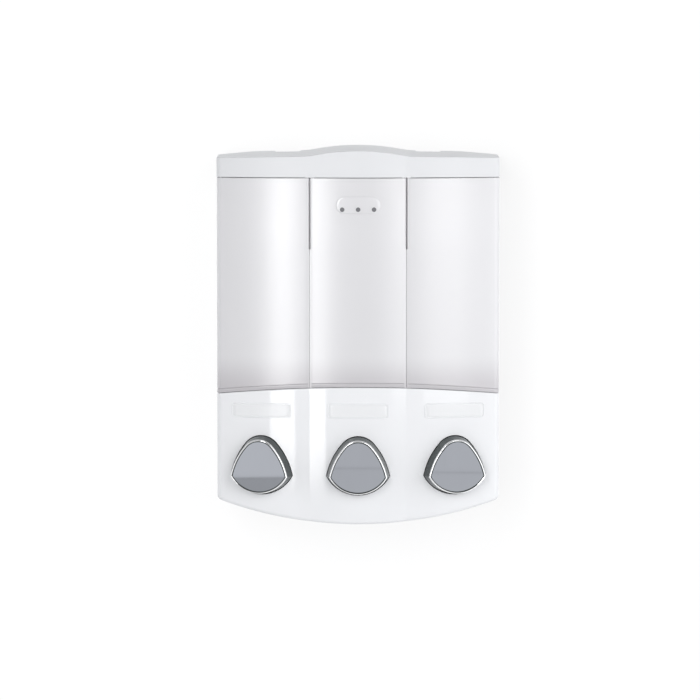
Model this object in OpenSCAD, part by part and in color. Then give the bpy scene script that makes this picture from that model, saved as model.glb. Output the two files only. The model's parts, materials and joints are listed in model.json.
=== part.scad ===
// Wall mounted triple soap dispenser: back panel, lower housing with three push-button pumps,
// three lift-out tanks and one hinged lid.
// Millimetres. X right, wall plane at y = 0 with the front towards -Y, Z up.
// The origin is the middle of the face that lies on the wall.

/* [Overall] */
// Overall width
unit_w = 190; // [180:1:210]
// Distance from the wall to the middle of the front
unit_d = 80; // [76:1:90]
// Radius of each of the three front lobes
lobe_r = 200; // [190:5:240]
// Half width of the middle lobe, where the valleys are
crease_x = 32.35; // [30:0.05:34]
// Turn of the side lobe at its valley, degrees outwards
crease_yaw = 2.9; // [2:0.1:5]
// Radius of the two outer vertical edges
corner_r = 5; // [3:0.5:8]

/* [Heights] */
// Top of the lower housing at the middle
seam_z = -34.4; // [-40:0.1:-30]
// Radius of the arched seam between housing and tanks
seam_r = 855; // [700:5:1200]
// Lowest point of the housing
bottom_z = -127; // [-130:0.5:-125]
// Radius of the curved bottom
bottom_r = 300; // [280:5:360]
// Lower edge of the lid
lid_z = 105.8; // [105:0.1:110]

/* [Walls] */
// Wall of the lower housing
housing_t = 2.5; // [2:0.1:3]
// Wall of a tank
tank_t = 1.8; // [1.5:0.1:2.2]
// Floor of a tank
floor_t = 2.7; // [2:0.1:3]
// Wall of the lid
lid_t = 2.2; // [1.8:0.1:2.6]
// Thickness of the back panel
panel_t = 3.5; // [3:0.1:4]
// Gap between parts that lie against each other
seam_gap = 0.3; // [0.2:0.05:0.5]
// Half of the gap between two tanks
tank_gap = 0.5; // [0.4:0.05:1]
// Distance from the wall to the back of the tanks
tank_back = 13; // [13:0.5:16]

/* [Lid] */
// Front top edge of the lid outside the valleys
crown_z = 119.9; // [119.5:0.1:123]
// Radius of the lid's crown
crown_r = 2500; // [2000:100:4000]
// Front top edge of the wave over the middle lobe
wave_z = 123.5; // [123:0.1:125.5]
// Radius of that wave
wave_r = 151; // [140:1:170]
// Rise of the lid towards the wall, degrees
lid_rise = 1.6; // [0.5:0.1:1.8]
// Radius of the lid's shoulders, which drop away towards the wall
shoulder_r = 495; // [400:5:700]
// Where a shoulder starts, distance from the centre line
shoulder_x = 36; // [34:0.5:40]
// Hinge axis, distance from the wall
hinge_y = 14; // [14:0.1:15]
// Hinge axis, height
hinge_z = 114; // [113.8:0.1:114.2]
// Radius of the hinge pins
pin_r = 2; // [1.8:0.1:2.2]
// Middle of each hinge, distance from the centre line
hinge_x = 48; // [44:1:60]

/* [Buttons] */
// Distance between button centres
button_pitch = 65; // [62:1:66]
// Height of the button centres
button_z = -87; // [-89:0.5:-86]
// How far a button stands out
button_out = 8; // [6:0.5:9]
// Length of the skirt inside the housing
button_in = 7; // [6:0.5:7]
// Taper of the part that stands out
button_flare = 1.6; // [1.2:0.1:2.4]
// How far the face sits below the middle of its opening
button_drop = 0.6; // [0:0.1:1]
// Button travel
button_travel = 6; // [4:0.5:6]
// Clearance around a button
button_gap = 0.4; // [0.3:0.05:0.6]
// Wall of a button
button_t = 2; // [1.6:0.1:2.2]

/* [Pumps] */
// Bore radius of the pump barrel
bore_r = 9; // [8:0.5:9]
// Outer radius of the pump barrel
barrel_r = 11; // [11:0.5:12]
// Distance of the ports behind the housing front
port_u = 34; // [33:0.5:35]
// Radius of the piston rod
rod_r = 3.5; // [3:0.1:4]
// Outer radius of a tank neck
neck_r = 5; // [4.5:0.1:5.2]
// Spring wire radius
wire_r = 0.6; // [0.4:0.05:0.8]
// Turns of a return spring
spring_turns = 5; // [4:1:7]

/* [Fixings] */
// Wall screw hole radius
wall_hole_r = 2.5; // [2:0.1:3]
// Wall screw spacing across
wall_hole_dx = 120; // [100:5:130]
// Wall screw spacing up
wall_hole_dz = 100; // [80:5:110]
// Height of the middle of the wall screws
wall_hole_z = 35; // [30:1:36]
// Thickness of the foam tape
tape_t = 1; // [0.8:0.1:1.5]

/* [Hidden] */
$fn = 96;

half_w = unit_w / 2;
lobe_cy = lobe_r - unit_d;
crease_y = lobe_cy - sqrt(pow(lobe_r, 2) - pow(crease_x, 2));
side_cx = crease_x - lobe_r * sin(crease_yaw);
side_cy = crease_y + lobe_r * cos(crease_yaw);
corner_x = half_w - corner_r;
corner_sin = (corner_x - side_cx) / (lobe_r - corner_r);
corner_y = side_cy - (lobe_r - corner_r) * sqrt(1 - pow(corner_sin, 2));
side_yaw = asin((button_pitch - side_cx) / lobe_r);
side_y = side_cy - lobe_r * cos(side_yaw);

tank_top = lid_z - 0.5;
rim_h = 3;
rim_t = 2.6;
lap_top = 58;
lap_gap = 0.1;
lap_depth = 5;
slit_d = 3;
floor_z = seam_z + floor_t;

shoulder_fall = 2;
shoulder_z = crown_z + unit_d * (tan(lid_rise) + tan(shoulder_fall));
lip_r = hinge_y - 0.1;
lip_angle = 25;
panel_top = 103;
panel_gap = 0.3;
side_rim_t = 2.5;
rim_top = 98.5;
ear_r = 3.8;
ear_t = 3.2;
ear_foot_d = 5.5;
ear_foot_z0 = 98;
ear_foot_z1 = 104;
knuckle_r = 4;
knuckle_w = 8.4;
knuckle_web = 6;
ear_step = knuckle_w / 2 + 0.4;
notch_half = ear_step + ear_t + 0.8;
notch_y = -hinge_y - 1;
pin_gap = 0.05;

barrel_u0 = button_in + button_travel;
barrel_u1 = 42;
bore_u1 = 39.5;
head_u0 = 17;
head_u1 = 23;
seal_w = 2;
cap_r = barrel_r + 1.6;
seal_u = (head_u0 + head_u1 - seal_w) / 2;
groove_r = bore_r - 1.6;
cup_z = -53;
cup_top = -43;
cup_r = 10;
cup_bore = 8;
riser_r = 5.5;
riser_bore = 3.2;
outlet_r = 6.5;
outlet_bore = 4.5;
outlet_z = -105;
nozzle_r = 5;
nozzle_bore = 3;
tray_z = -101.5;
tray_t = 2.5;
tray_half_w = 82.4;
tray_y0 = -56;
tray_y1 = -5.6;
flange_t = 2.4;
flange_h = 15;
cradle_us = [25, 40.5];
cradle_w = 18;
cradle_t = 1.6;
cradle_h = 10;
screw_r = 1.4;
screw_gap = 0.2;
screw_bite = 0.005;
tray_screw_l = 8;
housing_screw_l = 16;
screw_head_r = 3;
tray_screw_x = [-75, -32, 32, 75];
tray_screw_z = -92;
pillar_r = 4;
boss_x = 88;
boss_zs = [-50, -98];
boss_r = 5.2;
boss_l = 20;
tape_zs = [64, -53];
tape_w = 150;
tape_h = 18;
tape_gap = 0.2;
button_crown = [0, 5.8, 13.6];
button_foot = [0, 3.95, 23.85];
tip_r = 1;
tip_z = -7;
button_tip = [sqrt(pow(button_foot[2] - tip_r, 2) - pow(tip_z - button_foot[1], 2)), tip_z, tip_r];
button_upper_r = 47;
badge_z = 87.4;
badge_w = 29.6;
badge_h = 11.4;
badge_x = (badge_w - badge_h) / 2;
badge_rise = 0.6;
dot_step = 10.6;
dot_drop = 2.9;
dot_r = 1.5;
dot_rise = 0.25;
label_z = -50.6;
label_w = 40;
label_h = 8.6;
label_r = 1.5;
label_sink = 0.6;
frame_w = 0.7;
frame_rise = 0.4;

// ---- shared outlines ----

// Lobe seen from above between two x values, drawn in by g.
module lobe(cx, cy, x0, x1, g) {
  intersection() {
    translate([cx, cy]) circle(r = lobe_r - g, $fn = 360);
    translate([x0, -unit_d - 10]) square([x1 - x0, unit_d + 12]);
  }
}

// Side lobe with its rounded outer edge; s is -1 for left and 1 for right.
module side_plan(s, g, x0) {
  r = corner_r - g;
  touch_x = side_cx + (lobe_r - g) * corner_sin;
  mirror([s < 0 ? 1 : 0, 0]) {
    lobe(side_cx, side_cy, x0, touch_x, g);
    translate([corner_x, corner_y]) circle(r = r);
    translate([x0, corner_y]) square([half_w - g - x0, 2 - corner_y]);
  }
}

// Whole outline from above, drawn in by g.
module unit_plan(g) {
  lobe(0, lobe_cy, -crease_x, crease_x, g);
  for (s = [-1, 1]) side_plan(s, g, crease_x);
}

// Everything in front of the plane at distance d from the wall.
module front_of(d) {
  translate([-unit_w, -2 * unit_d - d, -2 * unit_w]) cube([2 * unit_w, 2 * unit_d, 4 * unit_w]);
}

// Round bar along Y whose top line is at height z, rising towards the wall.
module bar_y(r, z, rise) {
  translate([0, -unit_d, z]) rotate([rise, 0, 0])
    translate([0, -30, -r]) rotate([-90, 0, 0]) cylinder(r = r, h = unit_d + 60, $fn = 720);
}

// Bar whose top is the arched seam, grown by g.
module seam_bar(g) {
  translate([0, 20, seam_z - seam_r])
    rotate([90, 0, 0]) cylinder(r = seam_r + g, h = unit_d + 60, $fn = 720);
}

// Bar that bounds the curved bottom from below.
module bottom_bar(g) {
  translate([0, 20, bottom_z + bottom_r])
    rotate([90, 0, 0]) cylinder(r = bottom_r - g, h = unit_d + 60, $fn = 720);
}

// Place children at the button of side s: front surface at y = 0, y runs inwards.
module at_button(s) {
  translate([s * button_pitch, s == 0 ? -unit_d : side_y, 0])
    rotate([0, 0, s * side_yaw])
      children();
}

// Round bar along the button's axis from u0 to u1.
module bar_u(r, u0, u1) {
  translate([0, u0, button_z]) rotate([-90, 0, 0]) cylinder(r = r, h = u1 - u0);
}

// Vertical bar at the ports from z0 to z1.
module bar_port(r, z0, z1) {
  translate([0, port_u, z0]) cylinder(r = r, h = z1 - z0);
}

// Angle of the outward normal of the line that touches two circles [x, y, r] of a chain.
function touch_angle(a, b) =
  atan2(b[1] - a[1], b[0] - a[0])
    - acos(min(1, max(-1, (a[2] - b[2]) / norm([b[0] - a[0], b[1] - a[1]]))));

// Circle of radius r that both circles touch from inside, centred on the left of the way from a to b.
function circle_round(a, b, r) =
  let (d = norm([b[0] - a[0], b[1] - a[1]]), t = (d * d + pow(r - a[2], 2) - pow(r - b[2], 2)) / (2 * d),
    h = sqrt(pow(r - a[2], 2) - t * t), ux = (b[0] - a[0]) / d, uy = (b[1] - a[1]) / d)
  [a[0] + t * ux - h * uy, a[1] + t * uy + h * ux, r];

function mirrored(c) = [-c[0], c[1], c[2]];

// Points on circle c from angle a0 up to angle a1.
function arc_points(c, a0, a1) =
  let (turn = (a1 - a0 + 720) % 360, n = max(2, ceil(turn / 7)))
  [for (i = [0:n]) [c[0] + c[2] * cos(a0 + turn * i / n), c[1] + c[2] * sin(a0 + turn * i / n)]];

// Band round a chain of circles [x, y, r] given anticlockwise, drawn in by g.
module band(chain, g) {
  n = len(chain);
  c = [for (k = chain) [k[0], k[1], k[2] - g]];
  polygon([for (i = [0:n - 1])
    each arc_points(c[i], touch_angle(c[(i + n - 1) % n], c[i]), touch_angle(c[i], c[(i + 1) % n]))]);
}

// Button outline seen from the front: round top, two tips low at the sides, round bottom.
module button_outline(g) {
  upper = circle_round(button_tip, button_crown, button_upper_r);
  chain = [button_tip, upper, button_crown, mirrored(upper), mirrored(button_tip), button_foot];
  if (g > 0)
    offset(delta = -g) band(chain, 0);
  else
    band(chain, g);
}

// Straight bar with the button's outline from u0 to u1.
module button_bar(g, u0, u1) {
  translate([0, u1, button_z])
    rotate([90, 0, 0]) linear_extrude(u1 - u0) button_outline(g);
}

// Bar of the tapering front part.
module button_nose(g, u0, u1, g0) {
  hull() {
    button_bar(g, u1 - 0.02, u1);
    translate([0, 0, -button_drop]) button_bar(g0, u0, u0 + 0.02);
  }
}

// ---- fixed structure ----

module hinge_ears() {
  for (s = [-1, 1]) for (e = [-1, 1]) {
    x = s * hinge_x + e * (ear_step + ear_t / 2) - ear_t / 2;
    translate([x, 0, 0]) rotate([90, 0, 90]) linear_extrude(ear_t) difference() {
      hull() {
        translate([-hinge_y, hinge_z]) circle(r = ear_r, $fn = 48);
        translate([-ear_foot_d, ear_foot_z0]) square([ear_foot_d, ear_foot_z1 - ear_foot_z0]);
      }
      translate([-hinge_y, hinge_z]) circle(r = pin_r);
    }
  }
}

// Box between x = -w and w, from depth d0 to d1 off the wall and from z0 to z1.
module wall_box(w, d0, d1, z0, z1) {
  translate([-w, -d1, z0]) cube([2 * w, d1 - d0, z1 - z0]);
}

module back_panel() color("white") {
  rim_d = tank_back - 0.5;
  inner_w = half_w - housing_t - 0.5;
  difference() {
    union() {
      wall_box(half_w - 0.5, 0, panel_t, seam_z + 1, panel_top);
      intersection() {
        wall_box(inner_w, 0, panel_t, bottom_z, seam_z + 2);
        bottom_bar(housing_t + 0.5);
      }
      for (s = [-1, 1])
        translate([s * (half_w - 1.75) - side_rim_t / 2, -rim_d, seam_z + 1])
          cube([side_rim_t, rim_d, rim_top - seam_z - 1]);
      for (x = tray_screw_x)
        translate([x, tray_y1 + 0.1, tray_screw_z])
          rotate([-90, 0, 0]) cylinder(r = pillar_r, h = -tray_y1 - panel_t + 1);
    }
    for (sx = [-1, 1]) for (sz = [-1, 1])
      translate([sx * wall_hole_dx / 2, -10, wall_hole_z + sz * wall_hole_dz / 2])
        rotate([-90, 0, 0]) cylinder(r = wall_hole_r, h = 12);
    for (x = tray_screw_x)
      translate([x, tray_y1 - 1, tray_screw_z])
        rotate([-90, 0, 0]) cylinder(r = screw_r + screw_bite, h = 5);
    for (s = [-1, 1]) for (z = boss_zs) translate([s * boss_x, 0, z]) rotate([90, 0, 0]) {
      translate([0, 0, -1]) cylinder(r = screw_head_r + 0.3, h = 3);
      cylinder(r = screw_r + screw_gap, h = 10);
    }
    for (z = tape_zs)
      wall_box(tape_w / 2 + tape_gap, -1, tape_t, z - tape_h / 2 - tape_gap, z + tape_h / 2 + tape_gap);
  }
  hinge_ears();
}

module housing_shell() {
  difference() {
    intersection() {
      translate([0, 0, bottom_z - 2]) linear_extrude(seam_z - bottom_z + 4) unit_plan(0);
      bottom_bar(0);
      seam_bar(-seam_gap);
      front_of(0.3);
    }
    intersection() {
      translate([0, 0, bottom_z - 2]) linear_extrude(seam_z - bottom_z + 4) unit_plan(housing_t);
      bottom_bar(housing_t);
      seam_bar(-seam_gap - housing_t);
    }
  }
}

// Bar along the button's axis with the outline of a label, grown by g.
module label_bar(g) {
  r = label_r + g;
  x = label_w / 2 - label_r;
  z = label_h / 2 - label_r;
  translate([0, 6, label_z]) rotate([90, 0, 0]) linear_extrude(12)
    band([[x, -z, r], [x, z, r], [-x, z, r], [-x, -z, r]], 0);
}

// Curved sheet along the lobe of side s, between the insets g0 and g1 and the heights z0 and z1.
module lobe_skin(s, g0, g1, z0, z1) {
  translate([0, 0, z0]) linear_extrude(z1 - z0) difference() {
    translate([s == 0 ? 0 : s * side_cx, s == 0 ? lobe_cy : side_cy])
      circle(r = lobe_r - g0, $fn = 360);
    translate([s == 0 ? 0 : s * side_cx, s == 0 ? lobe_cy : side_cy])
      circle(r = lobe_r - g1, $fn = 360);
  }
}

module base_housing() color("white") {
  difference() {
    union() {
      housing_shell();
      for (s = [-1, 0, 1]) at_button(s) difference() {
        button_bar(-button_gap - 2, 1.6, 9.5);
        button_bar(-button_gap, 0, 11);
      }
      intersection() {
        union()
          for (s = [-1, 1]) for (z = boss_zs)
            translate([s * boss_x, -panel_t - 0.5, z])
              rotate([90, 0, 0]) cylinder(r = boss_r, h = boss_l);
        translate([0, 0, bottom_z]) linear_extrude(unit_w) unit_plan(1);
      }
      for (s = [-1, 0, 1]) intersection() {
        lobe_skin(s, -frame_rise, 0.5, label_z - label_h, label_z + label_h);
        at_button(s) difference() {
          label_bar(frame_w);
          label_bar(0);
        }
      }
    }
    for (s = [-1, 0, 1]) {
      at_button(s) {
        button_bar(-button_gap, -6, 10);
        bar_port(neck_r + 2, cup_top, 0);
        bar_port(nozzle_r + 1, bottom_z - 5, bottom_z + 20);
      }
      intersection() {
        lobe_skin(s, -2, label_sink, label_z - label_h, label_z + label_h);
        at_button(s) label_bar(0);
      }
    }
    for (s = [-1, 1]) for (z = boss_zs)
      translate([s * boss_x, -3, z]) rotate([90, 0, 0]) cylinder(r = screw_r + screw_bite, h = 18);
    wall_box(half_w - housing_t - 0.2, -1, panel_t + panel_gap, seam_z - 15, seam_z + 1);
  }
}

module pump_tray() color("gainsboro") {
  difference() {
    union() {
      wall_box(tray_half_w, -tray_y1 + flange_t - 0.2, -tray_y0, tray_z, tray_z + tray_t);
      wall_box(tray_half_w, -tray_y1, -tray_y1 + flange_t, tray_z, tray_z + flange_h);
      for (s = [-1, 0, 1]) at_button(s) for (u = cradle_us)
        translate([-cradle_w / 2, u, tray_z + 1]) cube([cradle_w, cradle_t, cradle_h]);
    }
    for (s = [-1, 0, 1]) at_button(s) {
      bar_u(barrel_r + 0.1, barrel_u0 - 10, barrel_u1 + 20);
      bar_u(cap_r + 0.4, barrel_u0 - 10, barrel_u0 + 6.5);
      bar_port(9, tray_z - 5, tray_z + 5);
    }
    for (x = tray_screw_x)
      translate([x, -10, tray_screw_z]) rotate([-90, 0, 0]) cylinder(r = screw_r + screw_gap, h = 6);
  }
}

// ---- tanks ----

module tank_plan(s, g, gx) {
  if (s == 0)
    lobe(0, lobe_cy, -crease_x + gx, crease_x - gx, g);
  else
    side_plan(s, g, crease_x + gx);
}

module tank(s) {
  difference() {
    union() {
      intersection() {
        translate([0, 0, seam_z - 20])
          linear_extrude(tank_top - seam_z + 20) tank_plan(s, 0.05, tank_gap);
        front_of(tank_back);
      }
      intersection() {
        translate([0, 0, seam_z - 20])
          linear_extrude(tank_top - seam_z + 20) tank_plan(s, 0.05, lap_gap);
        union() {
          translate([-40, crease_y - 4, -60]) cube([80, lap_depth + 4, 60 + lap_top]);
          translate([-40, crease_y + slit_d, -60]) cube([80, lap_depth - slit_d, 200]);
        }
      }
    }
    seam_bar(0);
    difference() {
      intersection() {
        translate([0, 0, seam_z - 20])
          linear_extrude(tank_top - rim_h - seam_z + 20) tank_plan(s, tank_t, tank_gap + tank_t);
        front_of(tank_back + tank_t);
      }
      seam_bar(floor_t);
    }
    intersection() {
      translate([0, 0, tank_top - rim_h - 1]) linear_extrude(10) tank_plan(s, rim_t, tank_gap + rim_t);
      front_of(tank_back + rim_t);
    }
    at_button(s) bar_port(neck_r - 1.6, cup_top - 5, floor_z + 10);
  }
  at_button(s) difference() {
    bar_port(neck_r, cup_top - 6, seam_z + 0.5);
    bar_port(neck_r - 1.6, cup_top - 7, seam_z + 5);
  }
}

module tank_left() color([0.93, 0.93, 0.95, 0.6]) tank(-1);
module tank_center() color([0.93, 0.93, 0.95, 0.6]) tank(0);
module tank_right() color([0.93, 0.93, 0.95, 0.6]) tank(1);

// ---- lid and hinge ----

// Everything under the two shoulders, drawn in by g; the middle is left free.
module under_shoulders(g) {
  for (s = [-1, 1])
    translate([s * shoulder_x, 0, 0]) bar_y(shoulder_r, shoulder_z - g, -shoulder_fall);
  translate([-shoulder_x, -2 * unit_d, 0]) cube([2 * shoulder_x, 3 * unit_d, 2 * wave_z]);
}

module lid_body(g, z0) {
  intersection() {
    translate([0, 0, z0]) linear_extrude(40) unit_plan(g);
    under_shoulders(g);
    union() {
      bar_y(crown_r, crown_z - g, lid_rise);
      bar_y(wave_r, wave_z - g, lid_rise);
    }
    union() {
      front_of(hinge_y);
      translate([-half_w, -hinge_y, hinge_z])
        rotate([0, 90, 0]) cylinder(r = lip_r - g, h = unit_w, $fn = 180);
    }
  }
}

module lid() color("white") {
  difference() {
    lid_body(0, lid_z);
    lid_body(lid_t, lid_z - 1);
    translate([-half_w - 1, -hinge_y, hinge_z]) rotate([lip_angle, 0, 0])
      translate([0, 0, -40]) cube([unit_w + 2, 40, 40]);
    translate([-half_w - 1, -hinge_y, lid_z - 20]) cube([unit_w + 2, 20, hinge_z - lid_z + 20]);
    for (s = [-1, 1])
      translate([s * hinge_x - notch_half, notch_y, lid_z]) cube([2 * notch_half, 20, 30]);
  }
  for (s = [-1, 1]) difference() {
    intersection() {
      translate([s * hinge_x - knuckle_w / 2, 0, 0]) rotate([90, 0, 90]) linear_extrude(knuckle_w)
        union() {
          translate([-hinge_y, hinge_z]) circle(r = knuckle_r);
          translate([-hinge_y - knuckle_r, hinge_z]) square([knuckle_web, 30]);
        }
      lid_body(1, lid_z - 5);
    }
    translate([-half_w, -hinge_y, hinge_z])
      rotate([0, 90, 0]) cylinder(r = pin_r + pin_gap, h = unit_w);
  }
}

module hinge_pin(s) {
  w = 2 * (ear_step + ear_t) + 1;
  translate([s * hinge_x - w / 2, -hinge_y, hinge_z]) rotate([0, 90, 0]) cylinder(r = pin_r, h = w);
}

module hinge_pin_left() color("silver") hinge_pin(-1);
module hinge_pin_right() color("silver") hinge_pin(1);

// ---- buttons and pumps ----

module push_button(s) {
  at_button(s) {
    difference() {
      union() {
        button_bar(0, 0, button_in);
        button_nose(0, -button_out, 0, button_flare);
      }
      button_bar(button_t, 0, button_in + 1);
      button_nose(button_t, -button_out + button_t, 0.01, button_flare + button_t);
    }
    difference() {
      bar_u(6, -button_out + button_t - 0.1, 4);
      bar_u(rod_r, 0, 5);
    }
  }
}

module button_left() color("silver") push_button(-1);
module button_center() color("silver") push_button(0);
module button_right() color("silver") push_button(1);

module pump_body(s) {
  at_button(s) difference() {
    union() {
      bar_u(barrel_r, barrel_u0, barrel_u1);
      bar_port(riser_r, button_z, cup_z);
      bar_port(cup_r, cup_z - 2, cup_top);
      bar_port(outlet_r, outlet_z, button_z);
    }
    bar_u(bore_r, barrel_u0 - 1, bore_u1);
    bar_port(riser_bore, button_z, cup_top);
    bar_port(cup_bore, cup_z, cup_top + 1);
    bar_port(outlet_bore, outlet_z - 1, button_z);
  }
}

module pump_body_left() color("white") pump_body(-1);
module pump_body_center() color("white") pump_body(0);
module pump_body_right() color("white") pump_body(1);

module pump_cap(s) {
  at_button(s) difference() {
    bar_u(cap_r, barrel_u0 - 2, barrel_u0 + 6);
    bar_u(barrel_r + 0.03, barrel_u0, barrel_u0 + 7);
    bar_u(rod_r + 0.08, 0, barrel_u0 + 1);
  }
}

module pump_cap_left() color("gainsboro") pump_cap(-1);
module pump_cap_center() color("gainsboro") pump_cap(0);
module pump_cap_right() color("gainsboro") pump_cap(1);

module piston(s) {
  at_button(s) difference() {
    union() {
      bar_u(rod_r, 0.1, head_u0 + 1);
      bar_u(bore_r - 0.2, head_u0, head_u1);
    }
    difference() {
      bar_u(bore_r + 1, seal_u, seal_u + seal_w);
      bar_u(groove_r, seal_u - 1, seal_u + seal_w + 1);
    }
  }
}

module piston_left() color("lightgray") piston(-1);
module piston_center() color("lightgray") piston(0);
module piston_right() color("lightgray") piston(1);

module piston_seal(s) {
  at_button(s) difference() {
    bar_u(bore_r - 0.04, seal_u + 0.05, seal_u + seal_w - 0.05);
    bar_u(groove_r + 0.02, 0, 40);
  }
}

module piston_seal_left() color("dimgray") piston_seal(-1);
module piston_seal_center() color("dimgray") piston_seal(0);
module piston_seal_right() color("dimgray") piston_seal(1);

// Wire swept along a helix between the piston and the end of the bore.
module return_spring(s) {
  steps = 14;
  sides = 8;
  coil_r = 6.2;
  u0 = head_u1 + wire_r + 0.1;
  u1 = bore_u1 - wire_r - 0.1;
  n = steps * spring_turns;
  ring = [for (i = [0:n]) let (a = 360 * i / steps) [for (k = [0:sides - 1])
    let (b = 360 * k / sides, r = coil_r + wire_r * cos(b))
    [r * cos(a), u0 + (u1 - u0) * i / n + wire_r * sin(b), r * sin(a)]]];
  points = [for (r = ring) for (p = r) p];
  walls = [for (i = [0:n - 1]) for (k = [0:sides - 1])
    [i * sides + k, i * sides + (k + 1) % sides,
     (i + 1) * sides + (k + 1) % sides, (i + 1) * sides + k]];
  first_end = [for (k = [0:sides - 1]) sides - 1 - k];
  last_end = [for (k = [0:sides - 1]) n * sides + k];
  at_button(s) translate([0, 0, button_z])
    polyhedron(points = points, faces = concat([first_end], walls, [last_end]));
}

module return_spring_left() color("silver") return_spring(-1);
module return_spring_center() color("silver") return_spring(0);
module return_spring_right() color("silver") return_spring(1);

module inlet_valve(s) {
  at_button(s) {
    bar_port(6, cup_z + 0.05, cup_z + 1.05);
    bar_port(1.2, cup_z - 4, cup_z + 0.5);
  }
}

module inlet_valve_left() color("dimgray") inlet_valve(-1);
module inlet_valve_center() color("dimgray") inlet_valve(0);
module inlet_valve_right() color("dimgray") inlet_valve(1);

module inlet_grommet(s) {
  at_button(s) difference() {
    union() {
      bar_port(cup_bore - 0.05, cup_top - 7, cup_top + 0.1);
      bar_port(cup_r - 0.5, cup_top + 0.05, cup_top + 1.4);
    }
    bar_port(neck_r + 0.03, cup_top - 8, cup_top + 3);
  }
}

module inlet_grommet_left() color("dimgray") inlet_grommet(-1);
module inlet_grommet_center() color("dimgray") inlet_grommet(0);
module inlet_grommet_right() color("dimgray") inlet_grommet(1);

// Silicone valve with a flange and two lips that close to a slit.
module outlet_valve(s) {
  lip_z = outlet_z + 1;
  flange_z = outlet_z + 5.5;
  at_button(s) difference() {
    union() {
      bar_port(outlet_bore - 0.05, flange_z, flange_z + 1.2);
      translate([0, port_u, lip_z]) cylinder(r1 = 1.8, r2 = 3.4, h = flange_z - lip_z + 0.1);
    }
    translate([0, port_u, lip_z + 1]) cylinder(r1 = 0.9, r2 = 2.6, h = flange_z - lip_z + 1);
    translate([-1.4, port_u - 0.15, lip_z - 1]) cube([2.8, 0.3, 3]);
  }
}

module outlet_valve_left() color("dimgray") outlet_valve(-1);
module outlet_valve_center() color("dimgray") outlet_valve(0);
module outlet_valve_right() color("dimgray") outlet_valve(1);

module nozzle(s) {
  port_x = abs(s) * (button_pitch - port_u * sin(side_yaw));
  tip_z = bottom_z + bottom_r - sqrt(pow(bottom_r, 2) - pow(port_x, 2)) + 1.2;
  at_button(s) difference() {
    union() {
      bar_port(outlet_r + 1.6, outlet_z - 1.5, outlet_z + 3);
      bar_port(nozzle_r, tip_z, outlet_z);
    }
    bar_port(outlet_r + 0.03, outlet_z, outlet_z + 4);
    bar_port(nozzle_bore, tip_z - 1, outlet_z + 1);
  }
}

module nozzle_left() color("white") nozzle(-1);
module nozzle_center() color("white") nozzle(0);
module nozzle_right() color("white") nozzle(1);

// ---- trim and fixings ----

module label_plate(s) {
  intersection() {
    lobe_skin(s, 0.1, label_sink - 0.05, label_z - label_h, label_z + label_h);
    at_button(s) label_bar(-0.15);
  }
}

module label_plate_left() color("white") label_plate(-1);
module label_plate_center() color("white") label_plate(0);
module label_plate_right() color("white") label_plate(1);

module badge() color("gainsboro") {
  intersection() {
    lobe_skin(0, -badge_rise, 0.03, badge_z - badge_h, badge_z + badge_h);
    translate([0, -unit_d + 6, badge_z]) rotate([90, 0, 0]) linear_extrude(12)
      band([[badge_x, 0, badge_h / 2], [-badge_x, 0, badge_h / 2]], 0);
  }
}

module badge_dots() color("dimgray") {
  intersection() {
    lobe_skin(0, -badge_rise - dot_rise, -badge_rise - 0.01, badge_z - badge_h, badge_z + badge_h);
    for (x = [-1, 0, 1]) translate([x * dot_step, -unit_d + 6, badge_z - dot_drop])
      rotate([90, 0, 0]) cylinder(r = dot_r, h = 12);
  }
}

// Pan head screw along Y: the head's outer face is at y0 and the shank runs in direction d.
module screw(y0, d, head, length) {
  translate([0, y0, 0]) rotate([-90 * d, 0, 0]) {
    cylinder(r = screw_head_r, h = head);
    cylinder(r = screw_r, h = length);
  }
}

module tray_screws() color("silver") {
  for (x = tray_screw_x) translate([x, 0, tray_screw_z]) screw(-10, 1, 1.9, tray_screw_l);
}

module housing_screws() color("silver") {
  for (s = [-1, 1]) for (z = boss_zs) translate([s * boss_x, 0, z]) screw(-0.1, -1, 1.8, housing_screw_l);
}

module tape_pads() color("darkgray") {
  for (z = tape_zs) wall_box(tape_w / 2, 0, tape_t - 0.02, z - tape_h / 2, z + tape_h / 2);
}

// ---- output ----

back_panel();
base_housing();
pump_tray();
tank_left();
tank_center();
tank_right();
lid();
hinge_pin_left();
hinge_pin_right();
button_left();
button_center();
button_right();
pump_body_left();
pump_body_center();
pump_body_right();
pump_cap_left();
pump_cap_center();
pump_cap_right();
piston_left();
piston_center();
piston_right();
piston_seal_left();
piston_seal_center();
piston_seal_right();
return_spring_left();
return_spring_center();
return_spring_right();
inlet_valve_left();
inlet_valve_center();
inlet_valve_right();
inlet_grommet_left();
inlet_grommet_center();
inlet_grommet_right();
outlet_valve_left();
outlet_valve_center();
outlet_valve_right();
nozzle_left();
nozzle_center();
nozzle_right();
label_plate_left();
label_plate_center();
label_plate_right();
badge();
badge_dots();
tray_screws();
housing_screws();
tape_pads();
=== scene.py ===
"""Wall mounted soap dispenser with three tanks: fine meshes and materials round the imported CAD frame.

Sizes below are in millimetres, as in the CAD, and every mesh is written in metres.
X runs to the right, the wall is the plane y = 0 with the front towards -Y, and Z is up.
"""

import functools
import json
import math

import bmesh
import bpy
from mathutils import Matrix, Vector
from mathutils.kdtree import KDTree


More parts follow.
